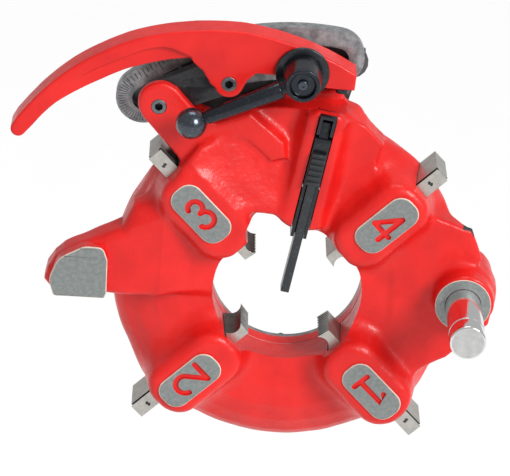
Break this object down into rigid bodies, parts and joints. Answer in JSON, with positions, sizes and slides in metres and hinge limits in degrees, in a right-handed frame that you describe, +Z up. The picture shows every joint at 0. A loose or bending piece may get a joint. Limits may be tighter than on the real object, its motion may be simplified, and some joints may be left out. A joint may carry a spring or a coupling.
{
  "type": "self-opening pipe threading die head",
  "caption": "Red cast die head that cuts pipe threads with four radial dies and springs open by a throw-out lever, with clamped size bar, trigger and mounting post.",
  "frame": {"origin": "mounting post's axis in the plane of the boss face, which is also the plane of the ground die pads", "axes": "+X right and +Z up as the head stands on its carriage, -Y out of the numbered face, along the mounting post; the bore axis is parallel to Y at x = -93 mm, z = -5.5 mm"},
  "size_m": [0.2619, 0.0978, 0.2413],
  "materials": {
    "red_enamel": "gloss enamel over cast iron",
    "ground_steel": "ground",
    "cam_steel": "machined, oiled",
    "die_steel": "ground tool steel",
    "post_chrome": "polished",
    "black_oxide": "black oxide"
  },
  "bodies": {
    "head": {"head": "red_enamel", "mounting_post": "post_chrome", "post_set_screw": "black_oxide", "cam_retainer": "ground_steel", "retainer_screw_1": "black_oxide", "retainer_screw_2": "black_oxide", "retainer_screw_3": "black_oxide", "retainer_screw_4": "black_oxide", "trigger_bracket": "black_oxide", "bracket_screw_1": "black_oxide", "bracket_screw_2": "black_oxide", "trigger_pivot_pin": "ground_steel", "link_pin_head": "black_oxide", "trigger_spring": "ground_steel"},
    "cam": {"cam_plate": "cam_steel", "size_bar": "ground_steel", "slot_guard": "cam_steel", "size_bar_screw_1": "black_oxide", "size_bar_screw_2": "black_oxide"},
    "die_1": {"die_1": "die_steel"},
    "die_2": {"die_2": "die_steel"},
    "die_3": {"die_3": "die_steel"},
    "die_4": {"die_4": "die_steel"},
    "link": {"link": "black_oxide"},
    "lever": {"throwout_lever": "red_enamel", "lever_stop_screw": "black_oxide", "link_pin_lever": "black_oxide", "clamp_stud": "black_oxide", "clamp_washer": "black_oxide"},
    "clamp_lever": {"clamp_hub": "black_oxide", "clamp_arm": "black_oxide", "clamp_ball": "black_oxide", "hub_cap_screw": "black_oxide"},
    "trigger": {"trigger_lever": "black_oxide", "slide_screw_1": "ground_steel", "slide_screw_2": "ground_steel"},
    "trigger_slide": {"trigger_slide": "black_oxide"}
  },
  "joints": [
    {"name": "throwout_lever", "type": "hinge", "parent": "link", "child": "lever", "pos_m": [-0.1317, 0.0215, 0.1125], "axis": [0, 1, 0], "range_deg": [0, 46]},
    {"name": "link_pivot", "type": "hinge", "parent": "head", "child": "link", "pos_m": [-0.1673, 0.0215, 0.0976], "axis": [0, 1, 0], "range_deg": [-25, 0]},
    {"name": "cam_turn", "type": "hinge", "parent": "head", "child": "cam", "pos_m": [-0.093, 0.042, -0.0055], "axis": [0, 1, 0], "range_deg": [-4.3, 0]},
    {"name": "die_1_slide", "type": "slide", "parent": "head", "child": "die_1", "axis": [0.7071, 0, -0.7071], "range_m": [0, 0.0024]},
    {"name": "die_2_slide", "type": "slide", "parent": "head", "child": "die_2", "axis": [-0.7071, 0, -0.7071], "range_m": [0, 0.0024]},
    {"name": "die_3_slide", "type": "slide", "parent": "head", "child": "die_3", "axis": [-0.7071, 0, 0.7071], "range_m": [0, 0.0024]},
    {"name": "die_4_slide", "type": "slide", "parent": "head", "child": "die_4", "axis": [0.7071, 0, 0.7071], "range_m": [0, 0.0024]},
    {"name": "clamp_lever", "type": "hinge", "parent": "lever", "child": "clamp_lever", "pos_m": [-0.0942, 0, 0.1219], "axis": [0, 1, 0], "range_deg": [0, 990]},
    {"name": "trigger_swing", "type": "hinge", "parent": "head", "child": "trigger", "pos_m": [-0.08, 0.014, 0.092], "axis": [-0.9876, 0, 0.1573], "range_deg": [0, 12], "stiffness_Nm_per_rad": 0.05, "springref_deg": -20.05},
    {"name": "trigger_reach", "type": "slide", "parent": "trigger", "child": "trigger_slide", "axis": [-0.1573, 0, -0.9876], "range_m": [-0.0015, 0.014]}
  ],
  "couplings": [
    {"joint": "link_pivot", "follows": "throwout_lever", "ratio": -0.54},
    {"joint": "cam_turn", "follows": "throwout_lever", "ratio": -0.0923},
    {"joint": "die_1_slide", "follows": "throwout_lever", "m_per_rad": 0.0029536},
    {"joint": "die_2_slide", "follows": "throwout_lever", "m_per_rad": 0.0029536},
    {"joint": "die_3_slide", "follows": "throwout_lever", "m_per_rad": 0.0029536},
    {"joint": "die_4_slide", "follows": "throwout_lever", "m_per_rad": 0.0029536}
  ]
}
